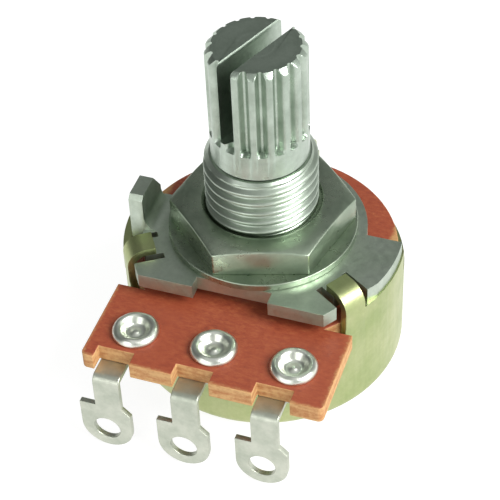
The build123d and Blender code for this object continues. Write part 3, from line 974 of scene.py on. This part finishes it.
@dataclass
class PressedPiece:
    """A stamped, drawn or machined piece: its CAD node with eased edges."""

    node: str
    name: str
    slot: str
    material: bpy.types.Material
    easing: float = 0.06
    edge_material: bpy.types.Material | None = None
    body: Body = Body.HOUSING

    def build(self) -> bpy.types.Object:
        """Copies the node's mesh, merges it, and rounds edges sharper than 30 degrees.

        Faces nearer to upright than to level take the edge material, if there is one.
        """
        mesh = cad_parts[self.node].data.copy()
        mesh.name = self.name
        work = bmesh.new()
        work.from_mesh(mesh)
        bmesh.ops.remove_doubles(work, verts=work.verts, dist=MERGE)
        bmesh.ops.dissolve_limit(
            work, angle_limit=FLAT_ENOUGH, verts=work.verts, edges=work.edges, use_dissolve_boundaries=False
        )
        work.to_mesh(mesh)
        work.free()
        mesh.polygons.foreach_set("use_smooth", np.ones(len(mesh.polygons), bool))
        mesh.set_sharp_from_angle(angle=SHARP_PRESSED)
        materials = [self.material] + ([self.edge_material] if self.edge_material else [])
        piece = place_piece(self.name, mesh, self.body, [self.node], materials)
        if self.edge_material is not None:
            normals = np.empty(len(mesh.polygons) * 3)
            mesh.polygons.foreach_get("normal", normals)
            upright = np.abs(normals[2::3]) < 0.5
            mesh.polygons.foreach_set("material_index", upright.astype(np.int32))
        bevel = piece.modifiers.new("eased edges", "BEVEL")
        bevel.width = self.easing * MM
        bevel.segments = 3
        bevel.limit_method = "ANGLE"
        bevel.angle_limit = SHARP_PRESSED
        bevel.harden_normals = False
        bevel.use_clamp_overlap = True
        return piece


class Potentiometer:
    """The whole part, put together from its pieces."""

    def __init__(self) -> None:
        """Makes the finishes."""
        self.finishes = Finishes()

    def pressed(self) -> list[PressedPiece]:
        """Lists the stamped, drawn and machined pieces."""
        f = self.finishes
        pieces = [
            PressedPiece("rear_case", "case_drawn", "case_steel", f.case, 0.07),
            PressedPiece("mounting_plate", "plate_stamped", "plate_steel", f.plate, 0.08),
            PressedPiece("flat_washer", "washer_stamped", "fixing_steel", f.fixings, 0.06),
            PressedPiece("hex_nut", "nut_machined", "fixing_steel", f.fixings, 0.07),
            PressedPiece("terminal_board", "board_punched", "board", f.board_face, 0.05, f.board_edge),
        ]
        for side in ("left", "centre", "right"):
            pieces.append(PressedPiece(f"terminal_{side}", f"tag_{side}", "terminal_metal", f.terminal, 0.07))
        return pieces

    def dress_inside(self) -> None:
        """Gives the pieces inside the case their finishes; their CAD shapes stay."""
        f = self.finishes
        finishes = {
            "resistive_track": f.track,
            "collector_ring": f.silver,
            "track_lead_left": f.silver,
            "track_lead_right": f.silver,
            "retaining_ring": f.ring,
            "wiper_carrier": f.carrier,
            "wiper_spring": f.spring,
        }
        for name, material in finishes.items():
            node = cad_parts[name]
            node.data.materials.clear()
            node.data.materials.append(material)
            LOG.info("%s: dressed with %s", name, material.name)

    def build(self) -> None:
        """Builds every piece."""
        for piece in self.pressed():
            piece.build()
        ThreadedBushing(self.finishes).build()
        KnurledShaft(self.finishes).build()
        Eyelets(self.finishes).build()
        self.dress_inside()


@dataclass
class Studio:
    """A white sweep with soft light from the right, and the camera."""

    azimuth: float = 20.843
    elevation: float = 44.188
    roll: float = -2.865
    distance: float = 108.423
    lens: float = 122.65
    target: tuple[float, float, float] = (-0.985, 0.0, -2.548)
    floor_height: float = -9.22
    left_dimming: float = 0.25
    right_lift: float = 1.30

    def camera(self) -> None:
        """Adds the camera.

        It looks back along (sin a cos e, -cos a cos e, sin e) from the target,
        with its right and up axes turned by the roll.
        """
        a, e, r = (math.radians(v) for v in (self.azimuth, self.elevation, self.roll))
        back = Vector((math.sin(a) * math.cos(e), -math.cos(a) * math.cos(e), math.sin(e)))
        right = Vector((math.cos(a), math.sin(a), 0))
        up = back.cross(right)
        turned_right = right * math.cos(r) + up * math.sin(r)
        turned_up = up * math.cos(r) - right * math.sin(r)
        data = bpy.data.cameras.new("camera")
        data.lens = self.lens
        data.sensor_width = 36
        data.clip_start = 0.005
        data.clip_end = 10
        camera = bpy.data.objects.new("camera", data)
        bpy.context.scene.collection.objects.link(camera)
        place = Vector(self.target) * MM + back * self.distance * MM
        axes = Matrix((turned_right, turned_up, back)).transposed().to_4x4()
        camera.matrix_world = Matrix.Translation(place) @ axes
        bpy.context.scene.camera = camera

    def lamp(self, name: str, place: tuple[float, float, float], size: float, power: float) -> None:
        """Adds a square soft lamp that points at the part.

        Args:
            name: the lamp's name.
            place: its place in metres.
            size: its side in metres.
            power: its power in watts.
        """
        data = bpy.data.lights.new(name, "AREA")
        data.size = size
        data.energy = power
        lamp = bpy.data.objects.new(name, data)
        bpy.context.scene.collection.objects.link(lamp)
        lamp.location = place
        lamp.rotation_euler = (-Vector(place)).to_track_quat("-Z", "Y").to_euler()

    def world(self) -> None:
        """Adds a white surround whose ceiling is darker, as over a light table.

        The camera sees plain white. Other rays see white near and below the
        horizon, and a grey that is darkest about 45 degrees up.
        """
        world = bpy.data.worlds.new("studio")
        bpy.context.scene.world = world
        world.use_nodes = True
        tree = world.node_tree
        tree.nodes.clear()
        direction = add_node(tree, "ShaderNodeTexCoord").outputs["Generated"]
        split = add_node(tree, "ShaderNodeSeparateXYZ", {0: direction})
        height = add_node(
            tree, "ShaderNodeMapRange", {"Value": split.outputs[2], "From Min": -1.0, "From Max": 1.0}
        )
        sky = add_ramp(
            tree,
            height.outputs[0],
            [
                (0.0, (1, 1, 1, 1)),
                (0.55, (0.95, 0.96, 0.95, 1)),
                (0.70, (0.36, 0.38, 0.36, 1)),
                (0.86, (0.24, 0.26, 0.25, 1)),
                (1.0, (0.75, 0.76, 0.75, 1)),
            ],
        )
        side = add_node(
            tree,
            "ShaderNodeMapRange",
            {
                "Value": split.outputs[0],
                "From Min": -1.0,
                "From Max": 1.0,
                "To Min": self.left_dimming,
                "To Max": self.right_lift,
            },
        )
        shaded = add_node(
            tree, "ShaderNodeVectorMath", {0: sky.outputs[0], "Scale": side.outputs[0]}, operation="SCALE"
        )
        rays = add_node(tree, "ShaderNodeLightPath")
        seen = add_node(
            tree,
            "ShaderNodeMix",
            {0: rays.outputs["Is Camera Ray"], 6: shaded.outputs[0], 7: (1, 1, 1, 1)},
            data_type="RGBA",
        )
        background = add_node(tree, "ShaderNodeBackground", {"Color": seen.outputs[2], "Strength": 1.0})
        add_node(tree, "ShaderNodeOutputWorld", {"Surface": background.outputs[0]})

    def floor(self) -> None:
        """Adds a white floor that keeps a faint contact shadow and is clear from below."""
        size = 0.6
        corners = [(-size, -size), (size, -size), (size, size), (-size, size)]
        mesh = bpy.data.meshes.new("floor")
        mesh.from_pydata([(x, y, self.floor_height * MM) for x, y in corners], [], [(0, 1, 2, 3)])
        material = bpy.data.materials.new("white card")
        material.use_nodes = True
        tree = material.node_tree
        tree.nodes.clear()
        lit = add_node(tree, "ShaderNodeBsdfDiffuse", {"Color": (0.9, 0.9, 0.9, 1)})
        shade = add_node(tree, "ShaderNodeBsdfDiffuse", {"Color": (0.26, 0.26, 0.26, 1)})
        glow = add_node(tree, "ShaderNodeEmission", {"Color": (1, 1, 1, 1), "Strength": 0.88})
        both = add_node(tree, "ShaderNodeAddShader", {0: shade.outputs[0], 1: glow.outputs[0]})
        rays = add_node(tree, "ShaderNodeLightPath")
        mirrored = add_node(
            tree,
            "ShaderNodeMath",
            {0: rays.outputs["Is Glossy Ray"], 1: rays.outputs["Is Transmission Ray"]},
            operation="MAXIMUM",
        )
        direct = add_node(
            tree,
            "ShaderNodeMath",
            {0: rays.outputs["Is Camera Ray"], 1: mirrored.outputs[0]},
            operation="MAXIMUM",
        )
        chosen = add_node(
            tree, "ShaderNodeMixShader", {0: direct.outputs[0], 1: lit.outputs[0], 2: both.outputs[0]}
        )
        clear = add_node(tree, "ShaderNodeBsdfTransparent")
        under = add_node(tree, "ShaderNodeNewGeometry")
        one_sided = add_node(
            tree,
            "ShaderNodeMixShader",
            {0: under.outputs["Backfacing"], 1: chosen.outputs[0], 2: clear.outputs[0]},
        )
        add_node(tree, "ShaderNodeOutputMaterial", {"Surface": one_sided.outputs[0]})
        mesh.materials.append(material)
        floor = bpy.data.objects.new("floor", mesh)
        bpy.context.scene.collection.objects.link(floor)

    def build(self) -> None:
        """Builds the camera, lamps, world and floor."""
        self.camera()
        self.lamp("key", (0.26, -0.06, 0.22), 0.20, 1.45)
        self.lamp("front fill", (-0.10, -0.32, 0.16), 0.25, 0.40)
        self.world()
        self.floor()
        bpy.context.scene.view_settings.view_transform = "Standard"


def main() -> None:
    logging.basicConfig(level=logging.INFO, format="%(name)s: %(message)s")
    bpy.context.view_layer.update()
    Potentiometer().build()
    Studio().build()


if __name__ == "__main__":
    main()
